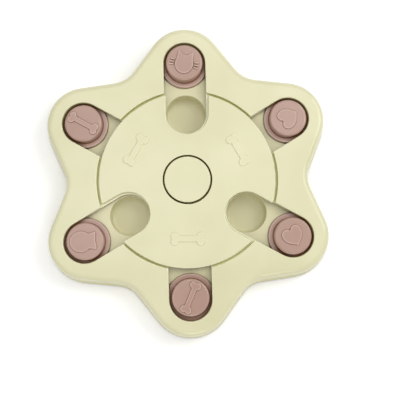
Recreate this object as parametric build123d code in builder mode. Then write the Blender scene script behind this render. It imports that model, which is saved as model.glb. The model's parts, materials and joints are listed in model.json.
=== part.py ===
"""Dog puzzle feeder: a six-lobed treat board with a notched turntable and six sliding pucks.

Millimetres. The origin is on the table under the turntable's axis, +Z is up and +Y points to the top lobe.
Treats lie in six wells. A puck covers its well when it is slid in, and it can be slid in only while one of
the turntable's three notches stands at its slot.
"""
import os
from math import acos, atan, atan2, cos, degrees, hypot, radians, sin

from build123d import *

# Layout: six lobes, each with a slot, a track, a puck and a well, and a valley on either side of it
lobe_names = ["top", "upper_left", "lower_left", "bottom", "lower_right", "upper_right"]
lobe_count = len(lobe_names)
first_lobe = 90.0               # direction of the top lobe, degrees from +X
lobe_step = 360.0 / lobe_count
notch_count = 3                 # the turntable opens every second slot
turntable_turn = -1.3           # the turntable rests this many degrees off the slots

# Heights
body_height = 27.0              # table to the cover's top face
skirt_stand = 1.0               # table to the skirt's lower edge
well_stand = 1.7                # table to the underside of the wells
tray_stand = 2.2                # table to the lower edge of the tray's own rim
deck_gap = 0.5                  # tray deck to the recess floor above it
track_depth = 2.8               # tray deck to track floor

# Star outline at the height of the top face
lobe_distance = 101.4           # axis to the centre of a lobe's round end
lobe_radius = 32.5
waist_radius = 104.1            # axis to the bottom of a valley
valley_radius = 27.5
skirt_flare = 3.8               # the skirt's foot stands this far outside the top face's outline

# Walls
cover_wall = 2.2
cover_plate = 2.4
cover_edge_round = 5.0
cover_inner_round = 2.6
recess_floor = 2.0
recess_wall = 2.0
lip_wall = 1.6
tray_wall = 1.8
tray_gap = 0.4                  # between the skirt's inside and the tray's rim
mouth_round = 0.8               # edges of the recess and the slots
slot_corner_round = 1.2         # upright corners where a slot meets the recess

# Turntable
turntable_radius = 76.6
turntable_thickness = 3.4
turntable_lift = 0.3            # running gap over the recess floor
recess_gap = 1.7                # turntable to the recess's wall, all round
notch_half_width = 18.5
notch_corner_round = 1.2
turntable_round = 0.9
bone_distance = 51.4            # axis to the middle of each raised bone
bone_length = 29.0
bone_end_width = 11.4
bone_shaft_width = 5.2
bone_relief = 1.0
bone_round = 0.6
hub_mouth_round = 0.6

# Slots, tracks and wells
slot_half_width = 18.3
slot_outer = 103.0              # axis to the centre of a slot's outer round end
well_distance = 58.7            # axis to the middle of a well, and to a puck that is slid in
well_radius = 17.3
well_floor_round = 3.0
well_mouth_round = 0.6
well_base_round = 2.5

# Pucks
park_distance = 102.9           # axis to the middle of a puck at its outer stop
rest_insets = [0.0, 0.4, 0.7, 1.7, 0.0, 0.0]    # how far short of its stop each puck rests
brim_radius = 20.4
brim_thickness = 2.4
brim_round = 0.7
knob_radius = 16.2              # at the brim
knob_draft = 1.8                # degrees
knob_rise = 2.0                 # above the cover's top face
knob_round = 1.8
puck_wall = 1.8
motif_relief = 0.9
motif_round = 0.45
cat_width = 16.0                # head, without the whiskers
dog_width = 19.0
heart_width = 18.0
puck_bone_length = 27.5
puck_bone_end_width = 10.0
puck_bone_shaft_width = 4.4
knuckle_share = 0.29            # radius of a bone's knuckle, of its end's width
bone_corner_share = 0.12        # radius of a bone's inner corners, of its end's width
heart_corner_share = 0.05       # radius of a heart's tip and cleft, of its width
track_clearance = 0.4           # brim to track side
brim_gap = 0.2                  # brim to track floor
lip_gap = 0.3                   # brim to the lip above it
stop_gap = 0.3                  # brim to either end of the track

# Hub: bush, cap, screw and washer
bush_neck_radius = 14.6
bush_running_gap = 0.08
bush_flange_radius = 19.0
bush_flange_thickness = 1.0
bush_flange_gap = 0.3           # flange to the turntable's inner lip
bush_stem_radius = 5.0
bush_stem_gap = 0.05
turntable_inner_lip = 1.4       # thickness of the lip that the flange keeps down
hub_well_radius = 21.3          # round pocket in the turntable that the cap sits in
cap_radius = 19.9
cap_rise = 0.9                  # above the cover's top face
cap_skirt_gap = 0.1
cap_skirt_lift = 0.4            # cap skirt to the turntable's inner lip
cap_round = 0.8
hub_boss_radius = 9.0
washer_radius = 5.0
washer_thickness = 0.8
hub_screw_radius = 1.95
hub_screw_head_radius = 3.9
hub_screw_head_height = 2.6

# Case screws, in the valleys
screw_distance = 90.0
post_radius = 4.5
screw_boss_radius = 5.8
screw_radius = 1.45
screw_head_radius = 3.2
screw_head_height = 2.0
pilot_gap = 0.05
shank_gap = 0.35
head_gap = 0.4                  # screw head to its counterbore, all round
screw_seat = 9.0                # table to the faces that the screw heads press on
boss_stand = 5.2                # table to the lower end of the screw bosses
pilot_roof = 1.2                # plastic left over each blind pilot hole
tip_gap = 0.6                   # screw tip to the end of its pilot hole
drive_length = 3.4
drive_width = 0.9
drive_depth = 1.1
head_round_share = 0.6          # of the head's height
tip_chamfer_share = 0.4         # of the shank's radius

# Feet and ribs under the tray
foot_distance = 112.0
foot_radius = 8.0
foot_height = 4.9
foot_fit = 0.1
foot_round = 0.9
foot_dish_radius = 4.6
foot_dish_depth = 0.8
foot_tube_wall = 1.8
foot_ledge = 1.2                # ledge inside the tube that the foot is pushed against
rib_thickness = 1.6
rib_stand = 7.0                 # table to the lower edge of the ribs
rib_sink = 1.0                  # how far a rib runs into the boss at either end


def skirt_growth(height):
    """How far the skirt's outside stands beyond the top outline at this height above the table."""
    return skirt_flare * (body_height - height) / (body_height - skirt_stand)


# Levels and radii that follow
skirt_draft = degrees(atan(skirt_flare / (body_height - skirt_stand)))
plate_under_z = body_height - cover_plate
recess_radius = turntable_radius + recess_gap
recess_z = body_height - turntable_thickness - turntable_lift
recess_under_z = recess_z - recess_floor
well_floor_z = well_stand + tray_wall
deck_z = recess_under_z - deck_gap
track_z = deck_z - track_depth
deck_under_z = deck_z - tray_wall
track_under_z = track_z - tray_wall
brim_z = track_z + brim_gap
brim_top_z = brim_z + brim_thickness
lip_z = brim_top_z + lip_gap
knob_top_z = body_height + knob_rise
turntable_z = recess_z + turntable_lift
inner_lip_top_z = turntable_z + turntable_inner_lip
flange_z = inner_lip_top_z + bush_flange_gap
flange_top_z = flange_z + bush_flange_thickness
cap_top_z = body_height + cap_rise
track_half_width = brim_radius + track_clearance
track_outer = park_distance + brim_radius + stop_gap - track_half_width
track_inner = well_distance - brim_radius - stop_gap + track_half_width
valley_step = lobe_step / 2
pilot_top_z = body_height - pilot_roof
stem_z = deck_z + tip_gap
rim_growth = skirt_growth(tray_stand) - cover_wall - tray_gap
foot_tube_radius = foot_radius + foot_fit + foot_tube_wall
notch_angle = first_lobe + turntable_turn
notch_step = 360.0 / notch_count
edge_tolerance = 0.01           # for picking edges by place


def lobe_angle(index):
    """Direction of a lobe, in degrees from +X."""
    return first_lobe + index * lobe_step


def polar_plane(angle, distance, height, turn=0.0):
    """Level plane at a place given by direction and distance, with its X pointing outwards plus turn."""
    heading = radians(angle + turn)
    place = (distance * cos(radians(angle)), distance * sin(radians(angle)), height)
    return Plane(origin=place, x_dir=(cos(heading), sin(heading), 0), z_dir=(0, 0, 1))


def star_outline(growth):
    """Star outline: lobe arcs and valley arcs joined by their common tangents, growth outside the top's."""
    valley_distance = waist_radius + valley_radius
    offset_x = valley_distance * cos(radians(valley_step)) - lobe_distance
    offset_y = valley_distance * sin(radians(valley_step))
    lean = acos((lobe_radius + valley_radius) / hypot(offset_x, offset_y))
    lobe_reach = degrees(atan2(offset_y, offset_x) - lean)
    valley_reach = lobe_reach - valley_step
    with BuildSketch() as outline:
        with BuildLine():
            for index in range(lobe_count):
                ahead = lobe_angle(index)
                valley = ahead + valley_step
                lobe_centre = Vector(lobe_distance, 0).rotate(Axis.Z, ahead)
                next_centre = Vector(lobe_distance, 0).rotate(Axis.Z, ahead + lobe_step)
                valley_centre = Vector(valley_distance, 0).rotate(Axis.Z, valley)
                lobe_arc = CenterArc(lobe_centre, lobe_radius + growth, ahead - lobe_reach, 2 * lobe_reach)
                valley_arc = CenterArc(
                    valley_centre, valley_radius - growth, valley + 180 + valley_reach, -2 * valley_reach
                )
                next_side = Vector(lobe_radius + growth, 0).rotate(Axis.Z, ahead + lobe_step - lobe_reach)
                Line(lobe_arc @ 1, valley_arc @ 0)
                Line(valley_arc @ 1, next_centre + next_side)
        make_face()
    return outline.sketch


def bone_outline(length, end_width, shaft_width):
    """Bone lying along X: a waisted shaft between two pairs of knuckles."""
    knuckle = end_width * knuckle_share
    reach_x = length / 2 - knuckle
    reach_y = end_width / 2 - knuckle
    with BuildSketch() as outline:
        with GridLocations(2 * reach_x, 2 * reach_y, 2, 2):
            Circle(knuckle)
        with BuildLine():
            ThreePointArc((-reach_x, reach_y), (0, shaft_width / 2), (reach_x, reach_y))
            Line((reach_x, reach_y), (reach_x, -reach_y))
            ThreePointArc((reach_x, -reach_y), (0, -shaft_width / 2), (-reach_x, -reach_y))
            Line((-reach_x, -reach_y), (-reach_x, reach_y))
        make_face()
        fillet(outline.vertices(), end_width * bone_corner_share)
    return outline.sketch


def heart_outline(width):
    """Heart with its tip towards -Y and its cleft towards +Y."""
    half = width / 2
    with BuildSketch() as outline:
        with BuildLine():
            Bezier((0, 0.52 * half), (0.22 * half, 1.06 * half), (1.02 * half, 1.0 * half), (half, 0.2 * half))
            Bezier((half, 0.2 * half), (0.98 * half, -0.36 * half), (0.4 * half, -0.72 * half), (0, -half))
            mirror(about=Plane.YZ)
        make_face()
        fillet(outline.vertices().group_by(Axis.X)[1], width * heart_corner_share)
    return outline.sketch


def cat_head_outline(width):
    """Round cat head with two pointed ears and three whiskers on either side."""
    half = width / 2
    ear = [(-0.94 * half, 0.1 * half), (-0.84 * half, 1.36 * half), (-0.15 * half, 0.78 * half)]
    with BuildSketch() as outline:
        with Locations((0, -0.2 * half)):
            Ellipse(half, 1.05 * half)
        for side in (-1, 1):
            with BuildLine():
                Polyline(*[(side * x, y) for x, y in ear], close=True)
            make_face()
        fillet(outline.vertices().filter_by(lambda corner: abs(corner.X) < 0.95 * half), 0.14 * half)
        for side in (-1, 1):
            for row in (-1, 0, 1):
                with Locations(Location((side * 1.36 * half, (row * 0.3 - 0.12) * half), side * row * 14)):
                    SlotOverall(0.5 * half, 0.14 * half)
    return outline.sketch


def dog_head_outline(width):
    """Dog head with a long muzzle towards -Y and two upright ears at the corners of the crown."""
    half = width / 2
    ear = [(0.66 * half, 0.32 * half), (0.83 * half, 1.02 * half), (0, 0.93 * half)]
    with BuildSketch() as outline:
        with Locations((0, -0.38 * half)):
            Ellipse(0.95 * half, 0.99 * half)
        with BuildLine():
            Polyline(*ear, *[(-x, y) for x, y in ear[1::-1]], close=True)
        make_face()
        fillet(outline.vertices().filter_by(lambda corner: abs(corner.X) < 0.9 * half), 0.12 * half)
    return outline.sketch


def slot_row(half_width, inner, outer):
    """A round-ended slot along every lobe, between two end centres."""
    with BuildSketch() as slots:
        with PolarLocations((inner + outer) / 2, lobe_count, start_angle=first_lobe):
            SlotCenterToCenter(outer - inner, 2 * half_width)
    return slots.sketch


def circle_row(radius, distance, start):
    """One circle for each lobe, or for each valley."""
    with BuildSketch() as circles:
        with PolarLocations(distance, lobe_count, start_angle=start):
            Circle(radius)
    return circles.sketch


def upright_edges(part, distance):
    """The part's upright edges that stand at this distance from the axis."""
    return part.edges().filter_by(Axis.Z).filter_by(
        lambda edge: abs(hypot(edge.center().X, edge.center().Y) - distance) < edge_tolerance
    )


def level_edges(part, height):
    """The part's edges that lie flat at this height."""
    return part.edges().filter_by_position(Axis.Z, height - edge_tolerance, height + edge_tolerance)


# Star cover: tapered shell with a round edge, a recess for the turntable, six lipped slots and screw posts
with BuildPart() as star_cover:
    with BuildSketch(Plane.XY.offset(skirt_stand)):
        add(star_outline(skirt_flare))
    extrude(amount=body_height - skirt_stand, taper=skirt_draft)
    fillet(level_edges(star_cover, body_height), cover_edge_round)
    with BuildSketch(Plane.XY.offset(skirt_stand)):
        add(star_outline(skirt_flare - cover_wall))
    extrude(amount=plate_under_z - skirt_stand, taper=skirt_draft, mode=Mode.SUBTRACT)
    fillet(level_edges(star_cover, plate_under_z), cover_inner_round)
    with BuildSketch(Plane.XY.offset(recess_under_z)):
        Circle(recess_radius + recess_wall)
    extrude(amount=plate_under_z - recess_under_z)
    with BuildSketch(Plane.XY.offset(lip_z)):
        add(slot_row(slot_half_width + lip_wall, well_distance, slot_outer))
    extrude(amount=plate_under_z - lip_z)
    with BuildSketch(Plane.XY.offset(deck_z)):
        add(circle_row(post_radius, screw_distance, first_lobe + valley_step))
        Circle(hub_boss_radius)
    extrude(amount=plate_under_z - deck_z)
    with BuildSketch(Plane.XY.offset(recess_z)):
        Circle(recess_radius)
    extrude(amount=body_height - recess_z, mode=Mode.SUBTRACT)
    with BuildSketch(Plane.XY.offset(lip_z)):
        add(slot_row(slot_half_width, well_distance, slot_outer))
    extrude(amount=body_height - lip_z, mode=Mode.SUBTRACT)
    fillet(upright_edges(star_cover, recess_radius), slot_corner_round)
    fillet(star_cover.faces().sort_by(Axis.Z)[-1].inner_wires()[0].edges(), mouth_round)
    with BuildSketch(Plane.XY.offset(deck_z)):
        add(circle_row(screw_radius + pilot_gap, screw_distance, first_lobe + valley_step))
    extrude(amount=pilot_top_z - deck_z, mode=Mode.SUBTRACT)
    with BuildSketch(Plane.XY.offset(deck_z)):
        Circle(bush_stem_radius + bush_stem_gap)
    extrude(amount=recess_z - deck_z, mode=Mode.SUBTRACT)

# Turntable: notched disc with a pocket for the hub cap, an inner lip under the bush's flange and three bones
with BuildPart() as turntable:
    with BuildSketch(Plane.XY.offset(turntable_z)):
        Circle(turntable_radius)
        notch_outer = turntable_radius + notch_half_width
        with PolarLocations((well_distance + notch_outer) / 2, notch_count, start_angle=notch_angle):
            SlotCenterToCenter(notch_outer - well_distance, 2 * notch_half_width, mode=Mode.SUBTRACT)
    extrude(amount=turntable_thickness)
    fillet(upright_edges(turntable, turntable_radius), notch_corner_round)
    fillet(level_edges(turntable, body_height), turntable_round)
    with BuildSketch(Plane.XY.offset(turntable_z)):
        Circle(bush_neck_radius + bush_running_gap)
    extrude(amount=turntable_thickness, mode=Mode.SUBTRACT)
    with BuildSketch(Plane.XY.offset(inner_lip_top_z)):
        Circle(hub_well_radius)
    extrude(amount=body_height - inner_lip_top_z, mode=Mode.SUBTRACT)
    fillet(turntable.faces().sort_by(Axis.Z)[-1].inner_wires()[0].edges(), hub_mouth_round)
    for index in range(notch_count):
        bone_angle = notch_angle + (index + 0.5) * notch_step
        with BuildSketch(polar_plane(bone_angle, bone_distance, body_height, turn=90)):
            add(bone_outline(bone_length, bone_end_width, bone_shaft_width))
        extrude(amount=bone_relief)
    fillet(level_edges(turntable, body_height + bone_relief), bone_round)

# Hub bush: flanged sleeve that the turntable turns on, with a stem that takes the hub screw from below
with BuildPart() as hub_bush:
    with BuildSketch(Plane.XY.offset(stem_z)):
        Circle(bush_stem_radius)
    extrude(amount=recess_z - stem_z)
    with BuildSketch(Plane.XY.offset(recess_z)):
        Circle(bush_neck_radius)
    extrude(amount=flange_z - recess_z)
    with BuildSketch(Plane.XY.offset(flange_z)):
        Circle(bush_flange_radius)
    extrude(amount=bush_flange_thickness)
    with BuildSketch(Plane.XY.offset(stem_z)):
        Circle(hub_screw_radius + pilot_gap)
    extrude(amount=flange_top_z - pilot_roof - stem_z, mode=Mode.SUBTRACT)

# Hub cap: round cover over the bush's flange, gripped by its skirt
with BuildPart() as hub_cap:
    with BuildSketch(Plane.XY.offset(inner_lip_top_z + cap_skirt_lift)):
        Circle(cap_radius)
    extrude(amount=cap_top_z - inner_lip_top_z - cap_skirt_lift)
    fillet(level_edges(hub_cap, cap_top_z), cap_round)
    with BuildSketch(Plane.XY.offset(inner_lip_top_z + cap_skirt_lift)):
        Circle(bush_flange_radius + cap_skirt_gap)
    extrude(amount=flange_top_z - inner_lip_top_z - cap_skirt_lift, mode=Mode.SUBTRACT)

# Base tray: deck with six round-ended tracks, a well in each, a rim inside the skirt and bosses underneath
with BuildPart() as base_tray:
    with BuildSketch(Plane.XY.offset(tray_stand)):
        add(star_outline(rim_growth))
    extrude(amount=deck_z - tray_stand, taper=skirt_draft)
    with BuildSketch(Plane.XY.offset(tray_stand)):
        add(star_outline(rim_growth - tray_wall))
    extrude(amount=deck_under_z - tray_stand, taper=skirt_draft, mode=Mode.SUBTRACT)
    with BuildSketch(Plane.XY.offset(track_under_z)):
        add(slot_row(track_half_width + tray_wall, track_inner, track_outer))
    extrude(amount=deck_under_z - track_under_z)
    with BuildSketch(Plane.XY.offset(well_stand)):
        add(circle_row(well_radius + tray_wall, well_distance, first_lobe))
    extrude(amount=track_under_z - well_stand)
    fillet(level_edges(base_tray, well_stand), well_base_round)
    with BuildSketch(Plane.XY.offset(tray_stand)):
        add(circle_row(foot_tube_radius, foot_distance, first_lobe))
    extrude(amount=track_under_z - tray_stand)
    with BuildSketch(Plane.XY.offset(boss_stand)):
        add(circle_row(screw_boss_radius, screw_distance, first_lobe + valley_step))
        Circle(hub_boss_radius)
    extrude(amount=deck_under_z - boss_stand)
    with BuildSketch(Plane.XY.offset(rib_stand)):
        rib_inner = hub_boss_radius - rib_sink
        rib_outer = screw_distance - screw_boss_radius + rib_sink
        with PolarLocations((rib_inner + rib_outer) / 2, lobe_count, start_angle=first_lobe + valley_step):
            Rectangle(rib_outer - rib_inner, rib_thickness)
    extrude(amount=deck_under_z - rib_stand)
    with BuildSketch(Plane.XY.offset(track_z)):
        add(slot_row(track_half_width, track_inner, track_outer))
    extrude(amount=track_depth, mode=Mode.SUBTRACT)
    with BuildSketch(Plane.XY.offset(well_floor_z)):
        add(circle_row(well_radius, well_distance, first_lobe))
    extrude(amount=track_z - well_floor_z, mode=Mode.SUBTRACT)
    fillet(level_edges(base_tray, well_floor_z), well_floor_round)
    track_arcs = level_edges(base_tray, track_z).filter_by(GeomType.CIRCLE)
    fillet(track_arcs.filter_by(lambda arc: abs(arc.radius - well_radius) < edge_tolerance), well_mouth_round)
    with BuildSketch(Plane.XY.offset(tray_stand)):
        add(circle_row(foot_radius + foot_fit, foot_distance, first_lobe))
    extrude(amount=foot_height + foot_fit - tray_stand, mode=Mode.SUBTRACT)
    with BuildSketch(Plane.XY.offset(tray_stand)):
        add(circle_row(foot_radius - foot_ledge, foot_distance, first_lobe))
    extrude(amount=track_under_z - tray_stand, mode=Mode.SUBTRACT)
    with BuildSketch(Plane.XY.offset(boss_stand)):
        add(circle_row(screw_head_radius + head_gap, screw_distance, first_lobe + valley_step))
        Circle(washer_radius + head_gap)
    extrude(amount=screw_seat - boss_stand, mode=Mode.SUBTRACT)
    with BuildSketch(Plane.XY.offset(screw_seat)):
        add(circle_row(screw_radius + shank_gap, screw_distance, first_lobe + valley_step))
        Circle(hub_screw_radius + shank_gap)
    extrude(amount=deck_z - screw_seat, mode=Mode.SUBTRACT)


def pan_screw(place, seat, tip, radius, head_radius, head_height):
    """Pan-head screw pointing up, its head pressed against seat from below, with a cross recess."""
    with BuildPart() as screw:
        with BuildSketch(place.offset(seat - head_height)):
            Circle(head_radius)
        extrude(amount=head_height)
        fillet(level_edges(screw, seat - head_height), head_height * head_round_share)
        with BuildSketch(place.offset(seat)):
            Circle(radius)
        extrude(amount=tip - seat)
        chamfer(level_edges(screw, tip), radius * tip_chamfer_share)
        with BuildSketch(place.offset(seat - head_height)):
            Rectangle(drive_length, drive_width)
            Rectangle(drive_width, drive_length)
        extrude(amount=drive_depth, mode=Mode.SUBTRACT)
    return screw.part


# Hub screw and its washer, pressed up against the tray's central boss
with BuildPart() as hub_washer:
    with BuildSketch(Plane.XY.offset(screw_seat - washer_thickness)):
        Circle(washer_radius)
        Circle(hub_screw_radius + shank_gap, mode=Mode.SUBTRACT)
    extrude(amount=washer_thickness)

with BuildPart() as hub_screw:
    add(pan_screw(Plane.XY, screw_seat - washer_thickness, flange_top_z - pilot_roof - tip_gap,
                  hub_screw_radius, hub_screw_head_radius, hub_screw_head_height))

# Six case screws in the valleys, as one group
with BuildPart() as case_screws:
    for index in range(lobe_count):
        add(pan_screw(polar_plane(lobe_angle(index) + valley_step, screw_distance, 0), screw_seat,
                      pilot_top_z - tip_gap, screw_radius, screw_head_radius, screw_head_height))


def rubber_foot(angle):
    """Round rubber foot with a dished sole, pushed into its tube under a lobe."""
    place = polar_plane(angle, foot_distance, 0)
    with BuildPart() as foot:
        with BuildSketch(place):
            Circle(foot_radius)
        extrude(amount=foot_height)
        fillet(level_edges(foot, 0), foot_round)
        with BuildSketch(place):
            Circle(foot_dish_radius)
        extrude(amount=foot_dish_depth, mode=Mode.SUBTRACT)
    return foot.part


def sliding_puck(angle, distance, motif, motif_heading):
    """Hat-shaped puck: a brim that runs in the track and a hollow knob with a raised motif on top."""
    place = polar_plane(angle, distance, 0)
    motif_turn = motif_heading - angle - 90
    with BuildPart() as puck:
        with BuildSketch(place.offset(brim_z)):
            Circle(brim_radius)
        extrude(amount=brim_thickness)
        fillet(level_edges(puck, brim_top_z), brim_round)
        with BuildSketch(place.offset(brim_top_z)):
            Circle(knob_radius)
        extrude(amount=knob_top_z - brim_top_z, taper=knob_draft)
        fillet(level_edges(puck, knob_top_z), knob_round)
        with BuildSketch(place.offset(brim_z)):
            Circle(knob_radius - puck_wall)
        extrude(amount=knob_top_z - puck_wall - brim_z, taper=knob_draft, mode=Mode.SUBTRACT)
        with BuildSketch(polar_plane(angle, distance, knob_top_z, turn=motif_turn)):
            add(motif)
        extrude(amount=motif_relief)
        fillet(level_edges(puck, knob_top_z + motif_relief), motif_round)
    return puck.part


puck_bone = bone_outline(puck_bone_length, puck_bone_end_width, puck_bone_shaft_width)
heart = heart_outline(heart_width)

# The motif on each puck, and the direction that the motif's top points to, in degrees from +X
motifs = {
    "top": (cat_head_outline(cat_width), 78),
    "upper_left": (puck_bone, 60),
    "lower_left": (dog_head_outline(dog_width), 4),
    "bottom": (puck_bone, 156),
    "lower_right": (heart, 119),
    "upper_right": (heart, 214),
}

parts = {
    "star_cover": star_cover.part,
    "turntable": turntable.part,
    "hub_bush": hub_bush.part,
    "hub_cap": hub_cap.part,
    "base_tray": base_tray.part,
    "hub_washer": hub_washer.part,
    "hub_screw": hub_screw.part,
    "case_screws": case_screws.part,
}
for index, lobe_name in enumerate(lobe_names):
    rest_distance = park_distance - rest_insets[index]
    parts["slider_" + lobe_name] = sliding_puck(lobe_angle(index), rest_distance, *motifs[lobe_name])
    parts["foot_" + lobe_name] = rubber_foot(lobe_angle(index))

os.makedirs("parts", exist_ok=True)
for name, part in parts.items():
    part.label = name
    export_step(part, f"parts/{name}.step")
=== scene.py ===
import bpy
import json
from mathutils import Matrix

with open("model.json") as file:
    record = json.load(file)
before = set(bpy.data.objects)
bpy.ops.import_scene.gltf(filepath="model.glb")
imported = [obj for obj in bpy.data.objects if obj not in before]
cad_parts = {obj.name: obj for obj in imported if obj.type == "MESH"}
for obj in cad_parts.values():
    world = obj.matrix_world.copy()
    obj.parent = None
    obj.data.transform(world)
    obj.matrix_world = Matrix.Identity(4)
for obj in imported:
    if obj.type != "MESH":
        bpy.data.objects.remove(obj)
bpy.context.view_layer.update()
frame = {"nodes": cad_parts, "record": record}

import json
from math import radians

import bpy
from mathutils import Color, Matrix, Vector

# Camera: above the board and a little to its near side, with the hub left of the middle and above it
camera_place = Vector((0.0024, -0.0792, 0.6269))
camera_aim = Vector((0.0154, -0.0205, 0.027))
camera_roll = -1.72             # degrees
focal_length = 61.2             # millimetres
sensor_width = 36.0             # millimetres
picture_up = Vector((0, 1, 0))

# Light: all of it together shows a level white surface as white
fill_level = 0.47
seen_level = 1.0                # the surroundings where they are seen
lamps = {                       # power in watts, width and place in metres
    "key": (5.6, 0.7, Vector((0.77, 0.36, 1.00))),
    "overhead": (3.0, 0.8, Vector((0.00, 0.33, 1.30))),
    "side": (1.6, 0.7, Vector((-0.85, 0.00, 1.00))),
    "front": (2.2, 0.5, Vector((0.10, -0.95, 0.75))),
}

# Floor
floor_size = 6.0
floor_white = 1.0
floor_clouds = 3.0              # noise blotches per metre
floor_cloud_depth = 0.01
floor_roughness = 0.9
floor_lift = 0.14               # added to the floor where it is seen, so that the open floor is plain white
far_lift = 0.6                  # the same beyond the lamps' reach
far_distances = (0.3, 1.5)      # from the axis, between which the one turns into the other

# Plastics, rubber and steel, as sRGB levels of 0 to 255
cream = (224, 220, 181)
cream_shade = (216, 213, 171)
# painted highlight along the outer edges of the cover, turntable and cap
cream_highlight = (247, 245, 213)
tray_cream = (221, 216, 178)
tray_shade = (211, 206, 166)
mauve = (180, 146, 131)
mauve_shade = (168, 132, 115)
# painted highlight along the pucks' outer edges
mauve_highlight = (215, 188, 174)
nylon = (226, 222, 208)
nylon_shade = (215, 210, 194)
rubber = (84, 84, 82)
rubber_shade = (66, 66, 65)
steel = (168, 168, 166)
steel_shade = (140, 140, 138)

# Painted shade in gaps and at the feet of steps, in the same levels
ring_gap_shade = (212, 211, 144)    # painted shade in the gap round the turntable
hub_gap_shade = (90, 84, 18)        # painted shade in the gap round the hub cap
low_gap_shade = (108, 68, 4)       # painted shade low on the slots' sides
tray_gap_shade = (84, 64, 22)      # painted shade along the foot of a slot's side
mauve_gap_shade = (106, 60, 4)
nylon_gap_shade = (92, 86, 60)

# Where a finish, its painted shade or its painted highlight changes: heights above the table and distances
# from the axis, in metres
hub_distances = (0.024, 0.026)
slot_heights = (0.0208, 0.0224)
skirt_heights = (0.0165, 0.023)
highlight_heights = (0.008, 0.014)
hem_shade_heights = (0.001, 0.0035)

# Painted shade in gaps, at the feet of steps and along the skirt's foot, and painted highlights on outer
# edges: reach in metres, and the openness from which to which they fade out
gap_reach = 0.006
gap_openness = (0.22, 0.5)
foot_reach = 0.0014
puck_foot_reach = 0.0018
foot_openness = (0.5, 0.85)
hub_gap_reach = 0.003
hub_gap_openness = (0.5, 0.8)
highlight_reach = 0.0012
puck_highlight_reach = 0.0018
highlight_openness = (0.55, 0.95)
highlight_strength = 0.9
hem_shade_strength = 0.45
look_samples = 8

# Noise blotches per metre, relief depths in metres, and how much of a noise's range is used
noise_middle = (0.35, 0.65)
plastic_clouds = 16.0
ripple_scale = 70.0
ripple_depth = 0.0004
ripple_strength = 0.25
grain_scale = 1500.0
grain_depth = 0.00012
polish_scale = 45.0
rubber_clouds = 60.0
pebble_scale = 2200.0
pebble_depth = 0.00015
pebble_strength = 0.35
wear_scale = 120.0
steel_clouds = 300.0
mark_scale = 900.0
mark_stretch = (1.0, 1.0, 6.0)
mark_depth = 0.00005
mark_strength = 0.3

# Shine
polish_below = 0.04             # how far the roughness falls below its stated value, and rises above it
polish_above = 0.05
gap_roughness = 0.9
dull_values = (0.1, 0.8)        # how matt a place is where its roughness starts and stops to rise
coat_values = (0.0, 0.6)        # the same for the loss of its gloss coat
plastic_ior = 1.33
coat_ior = 1.45
coat_roughness = 0.09
rubber_ior = 1.5
rubber_roughness = (0.62, 0.78)
steel_roughness = (0.26, 0.42)


def linear(levels):
    """Scene-linear RGBA of a colour given as sRGB levels of 0 to 255."""
    colour = Color([level / 255 for level in levels]).from_srgb_to_scene_linear()
    return (*colour, 1.0)


def computed(tree, operation, first, second):
    """The result of a math node on two sockets."""
    made = tree.nodes.new("ShaderNodeMath")
    made.operation = operation
    tree.links.new(first, made.inputs[0])
    tree.links.new(second, made.inputs[1])
    return made.outputs["Value"]


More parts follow.
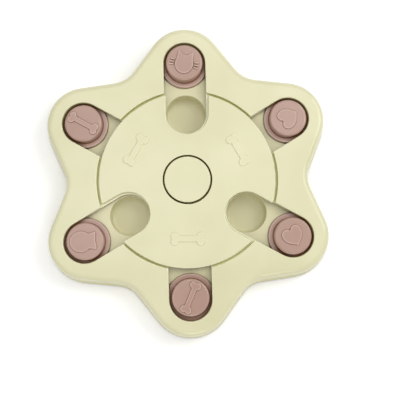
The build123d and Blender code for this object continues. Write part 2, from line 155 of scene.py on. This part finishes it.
class Finish:
    """A principled material that is built up from object-space textures."""

    def __init__(self, name):
        self.material = bpy.data.materials.new(name)
        self.material.use_nodes = True
        self.tree = self.material.node_tree
        self.shader = self.tree.nodes["Principled BSDF"]
        self.place = self.node("ShaderNodeTexCoord").outputs["Object"]
        self.normal = None

    def node(self, kind, **values):
        """A new node with its sockets set by name, underscores standing for spaces."""
        made = self.tree.nodes.new(kind)
        for socket, value in values.items():
            made.inputs[socket.replace("_", " ")].default_value = value
        return made

    def link(self, source, target):
        self.tree.links.new(source, target)

    def set(self, **values):
        """Sets constant values on the shader's own sockets."""
        for socket, value in values.items():
            self.shader.inputs[socket.replace("_", " ")].default_value = value

    def noise(self, scale, detail=2.0, stretch=(1.0, 1.0, 1.0)):
        """Noise of about one blotch per 1/scale metres, stretched along the axes."""
        mapping = self.node("ShaderNodeMapping", Scale=stretch)
        self.link(self.place, mapping.inputs["Vector"])
        texture = self.node("ShaderNodeTexNoise", Scale=scale, Detail=detail)
        self.link(mapping.outputs["Vector"], texture.inputs["Vector"])
        return texture.outputs["Fac"]

    def range(self, value, low, high, over=noise_middle):
        """Runs from low to high while the value runs over this pair, and stays level outside it."""
        start, end = over
        mapped = self.node("ShaderNodeMapRange", From_Min=start, From_Max=end, To_Min=low, To_Max=high)
        self.link(value, mapped.inputs["Value"])
        return mapped.outputs["Result"]

    def mix(self, factor, first, second):
        """A colour between two others, each a constant or a socket."""
        blend = self.tree.nodes.new("ShaderNodeMix")
        blend.data_type = "RGBA"
        self.link(factor, blend.inputs[0])
        for socket, colour in ((blend.inputs[6], first), (blend.inputs[7], second)):
            if isinstance(colour, tuple):
                socket.default_value = colour
            else:
                self.link(colour, socket)
        return blend.outputs[2]

    def bump(self, height, distance, strength):
        """Adds relief of this depth, in metres, on top of what is there."""
        relief = self.node("ShaderNodeBump", Distance=distance, Strength=strength)
        self.link(height, relief.inputs["Height"])
        if self.normal is not None:
            self.link(self.normal, relief.inputs["Normal"])
        self.normal = relief.outputs["Normal"]

    def height(self):
        """Height above the table, in metres."""
        split = self.node("ShaderNodeSeparateXYZ")
        self.link(self.place, split.inputs["Vector"])
        return split.outputs["Z"]

    def axis_distance(self):
        """Distance from the turntable's axis, in metres."""
        level = self.node("ShaderNodeVectorMath")
        level.operation = "MULTIPLY"
        level.inputs[1].default_value = (1, 1, 0)
        self.link(self.place, level.inputs[0])
        length = self.node("ShaderNodeVectorMath")
        length.operation = "LENGTH"
        self.link(level.outputs["Vector"], length.inputs[0])
        return length.outputs["Value"]

    def openness(self, reach, inside=False):
        """How open the surface is within this reach, from 0 to 1; looking inside, how thick the piece is."""
        occlusion = self.node("ShaderNodeAmbientOcclusion", Distance=reach)
        occlusion.samples = look_samples
        occlusion.inside = inside
        occlusion.only_local = inside
        return occlusion.outputs["AO"]

    def largest(self, first, second):
        return computed(self.tree, "MAXIMUM", first, second)

    def product(self, first, second):
        return computed(self.tree, "MULTIPLY", first, second)

    def painted_shade_mask(self, line, line_reach):
        """Mask of the painted shade: 1 deep in a narrow gap and 0 in the open, with up to line in a thin line
        at the foot of a step.
        """
        gap = self.range(self.openness(gap_reach), 1.0, 0.0, over=gap_openness)
        foot = self.range(self.openness(line_reach), line, 0.0, over=foot_openness)
        return self.largest(gap, foot)

    def near_hub(self):
        """1 at the hub cap and its pocket, 0 outside them."""
        return self.range(self.axis_distance(), 1.0, 0.0, over=hub_distances)

    def hub_shade_mask(self):
        """Mask of the painted shade in the shallow gap round the hub cap: 1 there, 0 elsewhere."""
        gap = self.range(self.openness(hub_gap_reach), 1.0, 0.0, over=hub_gap_openness)
        return self.product(gap, self.near_hub())

    def edges(self, reach):
        """Mask of the painted highlight: up to the highlight strength along the outer edges well above the
        table, 0 elsewhere.
        """
        sharp = self.range(self.openness(reach, inside=True), highlight_strength, 0.0, over=highlight_openness)
        above = self.range(self.height(), 0.0, 1.0, over=highlight_heights)
        return self.product(sharp, above)

    def hem(self):
        """Mask of the painted contact shade along the foot of the skirt: up to the hem shade strength, 0
        elsewhere.
        """
        return self.range(self.height(), hem_shade_strength, 0.0, over=hem_shade_heights)

    def low_sides(self):
        """1 on the skirt and deep in the slots, 0 near the top face."""
        return self.range(self.height(), 1.0, 0.0, over=skirt_heights)

    def finish(self, colour):
        self.link(colour, self.shader.inputs["Base Color"])
        if self.normal is not None:
            self.link(self.normal, self.shader.inputs["Normal"])
        return self.material


def board_gap_shade(plastic):
    """Painted shade colour for the cover's gaps: olive round the turntable, darker round the hub cap, brown
    in the slots.
    """
    low = plastic.range(plastic.height(), 1.0, 0.0, over=slot_heights)
    upper = plastic.mix(plastic.near_hub(), linear(ring_gap_shade), linear(hub_gap_shade))
    return plastic.mix(low, upper, linear(low_gap_shade))


def moulded_plastic(
    name, colour, shade, roughness, gloss, grain, line,
    line_reach=foot_reach, shade_colour=None, highlight=None, outer_reach=highlight_reach
):
    """Injection-moulded plastic: faint flow clouds, shallow ripple, fine mould grain and uneven polish.

    Gaps and the feet of steps take a painted shade of the given shade colour, and outer edges may take a
    painted highlight. Without a shade colour, the plastic is that of the cover, turntable and cap, with their
    own mix of painted gap shade, a painted contact shade along the hem and matt low sides.
    """
    plastic = Finish(name)
    clouds = plastic.range(plastic.noise(plastic_clouds, detail=3.0), 0.0, 1.0)
    tint = plastic.mix(clouds, linear(colour), linear(shade))
    # Painted highlight: outer edges well above the table turn lighter
    if highlight is not None:
        tint = plastic.mix(plastic.edges(outer_reach), tint, linear(highlight))
    # Painted shade: how far gaps, the feet of steps and, on the board, the skirt's foot take the shade colour
    shade_amount = plastic.painted_shade_mask(line, line_reach)
    if shade_colour is None:
        shade_amount = plastic.largest(shade_amount, plastic.hub_shade_mask())
        shade_amount = plastic.largest(shade_amount, plastic.hem())
        matt = plastic.largest(shade_amount, plastic.low_sides())
        gap_shade_colour = board_gap_shade(plastic)
    else:
        matt = shade_amount
        gap_shade_colour = linear(shade_colour)
    # Painted shade mixed into the plastic's colour
    tint = plastic.mix(shade_amount, tint, gap_shade_colour)
    plastic.bump(plastic.noise(ripple_scale), distance=ripple_depth, strength=ripple_strength)
    plastic.bump(plastic.noise(grain_scale, detail=4.0), distance=grain_depth, strength=grain)
    uneven = plastic.noise(polish_scale, detail=4.0)
    polish = plastic.range(uneven, roughness - polish_below, roughness + polish_above)
    dull = plastic.range(matt, 0.0, gap_roughness, over=dull_values)
    plastic.link(plastic.largest(polish, dull), plastic.shader.inputs["Roughness"])
    coat = plastic.range(matt, gloss, 0.0, over=coat_values)
    plastic.link(coat, plastic.shader.inputs["Coat Weight"])
    plastic.set(IOR=plastic_ior, Coat_Roughness=coat_roughness, Coat_IOR=coat_ior)
    return plastic.finish(tint)


def moulded_rubber(name):
    """Matt rubber with a fine pebbled skin."""
    skin = Finish(name)
    clouds = skin.range(skin.noise(rubber_clouds, detail=3.0), 0.0, 1.0)
    skin.bump(skin.noise(pebble_scale, detail=3.0), distance=pebble_depth, strength=pebble_strength)
    wear = skin.range(skin.noise(wear_scale), *rubber_roughness)
    skin.link(wear, skin.shader.inputs["Roughness"])
    skin.set(IOR=rubber_ior)
    return skin.finish(skin.mix(clouds, linear(rubber), linear(rubber_shade)))


def plated_steel(name):
    """Zinc-plated steel with fine turning marks."""
    metal = Finish(name)
    clouds = metal.range(metal.noise(steel_clouds, detail=3.0), 0.0, 1.0)
    marks = metal.noise(mark_scale, stretch=mark_stretch)
    metal.bump(marks, distance=mark_depth, strength=mark_strength)
    metal.link(metal.range(marks, *steel_roughness), metal.shader.inputs["Roughness"])
    metal.set(Metallic=1.0)
    return metal.finish(metal.mix(clouds, linear(steel), linear(steel_shade)))


def dress_nodes():
    """Gives every CAD node the finish of its material slot."""
    finishes = {
        "cream_gloss": moulded_plastic(
            "cream_gloss", cream, cream_shade, roughness=0.32, gloss=0.9, grain=0.03, line=0.25,
            highlight=cream_highlight
        ),
        "cream_tray": moulded_plastic(
            "cream_tray", tray_cream, tray_shade, roughness=0.38, gloss=0.4, grain=0.06, line=0.9,
            shade_colour=tray_gap_shade
        ),
        "mauve_plastic": moulded_plastic(
            "mauve_plastic", mauve, mauve_shade, roughness=0.36, gloss=0.9, grain=0.08, line=1.0,
            line_reach=puck_foot_reach, shade_colour=mauve_gap_shade, highlight=mauve_highlight, outer_reach=puck_highlight_reach
        ),
        "natural_nylon": moulded_plastic(
            "natural_nylon", nylon, nylon_shade, roughness=0.42, gloss=0.3, grain=0.05, line=0.6,
            shade_colour=nylon_gap_shade
        ),
        "screw_steel": plated_steel("screw_steel"),
        "grey_rubber": moulded_rubber("grey_rubber"),
    }
    for subpart in frame["record"]["subparts"]:
        node = frame["nodes"][subpart["node"]]
        node.data.materials.clear()
        node.data.materials.append(finishes[subpart["material_slot"]])


def make_camera():
    """Camera that looks from camera_place to camera_aim, rolled about its own line of sight."""
    lens = bpy.data.cameras.new("camera")
    lens.sensor_fit = "HORIZONTAL"
    lens.sensor_width = sensor_width
    lens.lens = focal_length
    camera = bpy.data.objects.new("camera", lens)
    backwards = (camera_place - camera_aim).normalized()
    right = picture_up.cross(backwards).normalized()
    up = backwards.cross(right)
    level = Matrix((right, up, backwards)).transposed()
    turned = level @ Matrix.Rotation(radians(camera_roll), 3, "Z")
    camera.matrix_world = Matrix.Translation(camera_place) @ turned.to_4x4()
    bpy.context.scene.collection.objects.link(camera)
    bpy.context.scene.camera = camera


def soft_light(name, power, size, place):
    """Square soft light that faces the middle of the board."""
    lamp = bpy.data.lights.new(name, "AREA")
    lamp.size = size
    lamp.energy = power
    light = bpy.data.objects.new(name, lamp)
    light.location = place
    light.rotation_euler = place.to_track_quat("Z", "Y").to_euler()
    bpy.context.scene.collection.objects.link(light)


def seen_ray(tree):
    """1 for rays that come from the camera, a reflection or a refraction, and 0 for all others."""
    path = tree.nodes.new("ShaderNodeLightPath")
    seen = path.outputs["Is Camera Ray"]
    for name in ("Is Glossy Ray", "Is Transmission Ray"):
        seen = computed(tree, "MAXIMUM", seen, path.outputs[name])
    return seen


def make_world():
    """Even white surroundings: seen as plain white, and lighting the board at fill_level."""
    world = bpy.data.worlds.new("studio")
    bpy.context.scene.world = world
    world.use_nodes = True
    tree = world.node_tree
    tree.nodes.clear()
    chosen = tree.nodes.new("ShaderNodeMixShader")
    tree.links.new(seen_ray(tree), chosen.inputs[0])
    for socket, strength in ((chosen.inputs[1], fill_level), (chosen.inputs[2], seen_level)):
        background = tree.nodes.new("ShaderNodeBackground")
        background.inputs["Color"].default_value = (1, 1, 1, 1)
        background.inputs["Strength"].default_value = strength
        tree.links.new(background.outputs["Background"], socket)
    output = tree.nodes.new("ShaderNodeOutputWorld")
    tree.links.new(chosen.outputs["Shader"], output.inputs["Surface"])


def make_floor():
    """White floor that takes the board's soft shadow, and is lifted to plain white where it is seen."""
    half = floor_size / 2
    mesh = bpy.data.meshes.new("floor")
    corners = [(-half, -half, 0), (half, -half, 0), (half, half, 0), (-half, half, 0)]
    mesh.from_pydata(corners, [], [(0, 1, 2, 3)])
    floor = bpy.data.objects.new("floor", mesh)
    bpy.context.scene.collection.objects.link(floor)
    paper = Finish("floor_paper")
    shade = paper.range(paper.noise(floor_clouds), floor_white, floor_white - floor_cloud_depth)
    tone = paper.node("ShaderNodeCombineColor")
    for channel in ("Red", "Green", "Blue"):
        paper.link(shade, tone.inputs[channel])
    level = paper.range(paper.axis_distance(), floor_lift, far_lift, over=far_distances)
    lift = paper.product(seen_ray(paper.tree), level)
    paper.link(lift, paper.shader.inputs["Emission Strength"])
    paper.set(Roughness=floor_roughness, Specular_IOR_Level=0.0, Emission_Color=(1, 1, 1, 1))
    mesh.materials.append(paper.finish(tone.outputs["Color"]))


for leftover in ("Cube", "Light", "Camera"):
    if leftover in bpy.data.objects:
        bpy.data.objects.remove(bpy.data.objects[leftover])

dress_nodes()
make_floor()
make_world()
for name, (power, size, place) in lamps.items():
    soft_light(name, power, size, place)
make_camera()

scene = bpy.context.scene
scene.view_settings.view_transform = "Standard"
